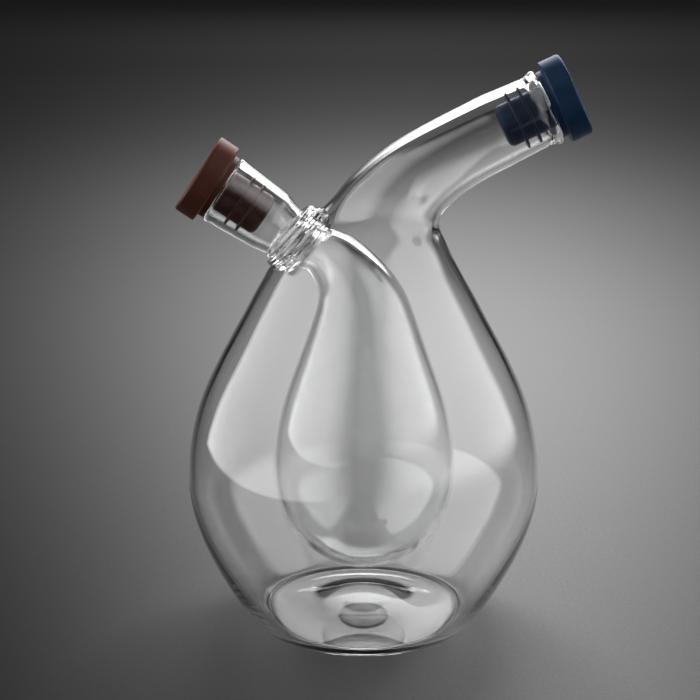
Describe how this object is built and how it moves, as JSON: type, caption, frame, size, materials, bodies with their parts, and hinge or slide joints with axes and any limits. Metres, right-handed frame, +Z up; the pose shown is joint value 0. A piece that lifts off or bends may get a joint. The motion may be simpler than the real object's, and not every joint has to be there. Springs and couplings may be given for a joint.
{
  "type": "oil and vinegar dispenser",
  "caption": "Empty blown glass dispenser for oil and vinegar: a gourd-shaped flask with a leaning spout, a drop-shaped vessel hung inside it on its own neck, and a soft stopper in each mouth.",
  "frame": {"origin": "The centre of the foot's ring, on the surface that the dispenser stands on.", "axes": "+Z is up. X-Z is the plane of symmetry: the spout leans to +X and the neck to -X."},
  "size_m": [0.114, 0.1, 0.1617],
  "materials": {
    "clear_glass": "clear, smooth, blown by hand",
    "blue_rubber": "satin, dark blue",
    "brown_rubber": "satin, dark red-brown"
  },
  "bodies": {
    "root": {"glass_flask": "clear_glass", "spout_stopper": "blue_rubber", "neck_stopper": "brown_rubber"}
  },
  "joints": []
}
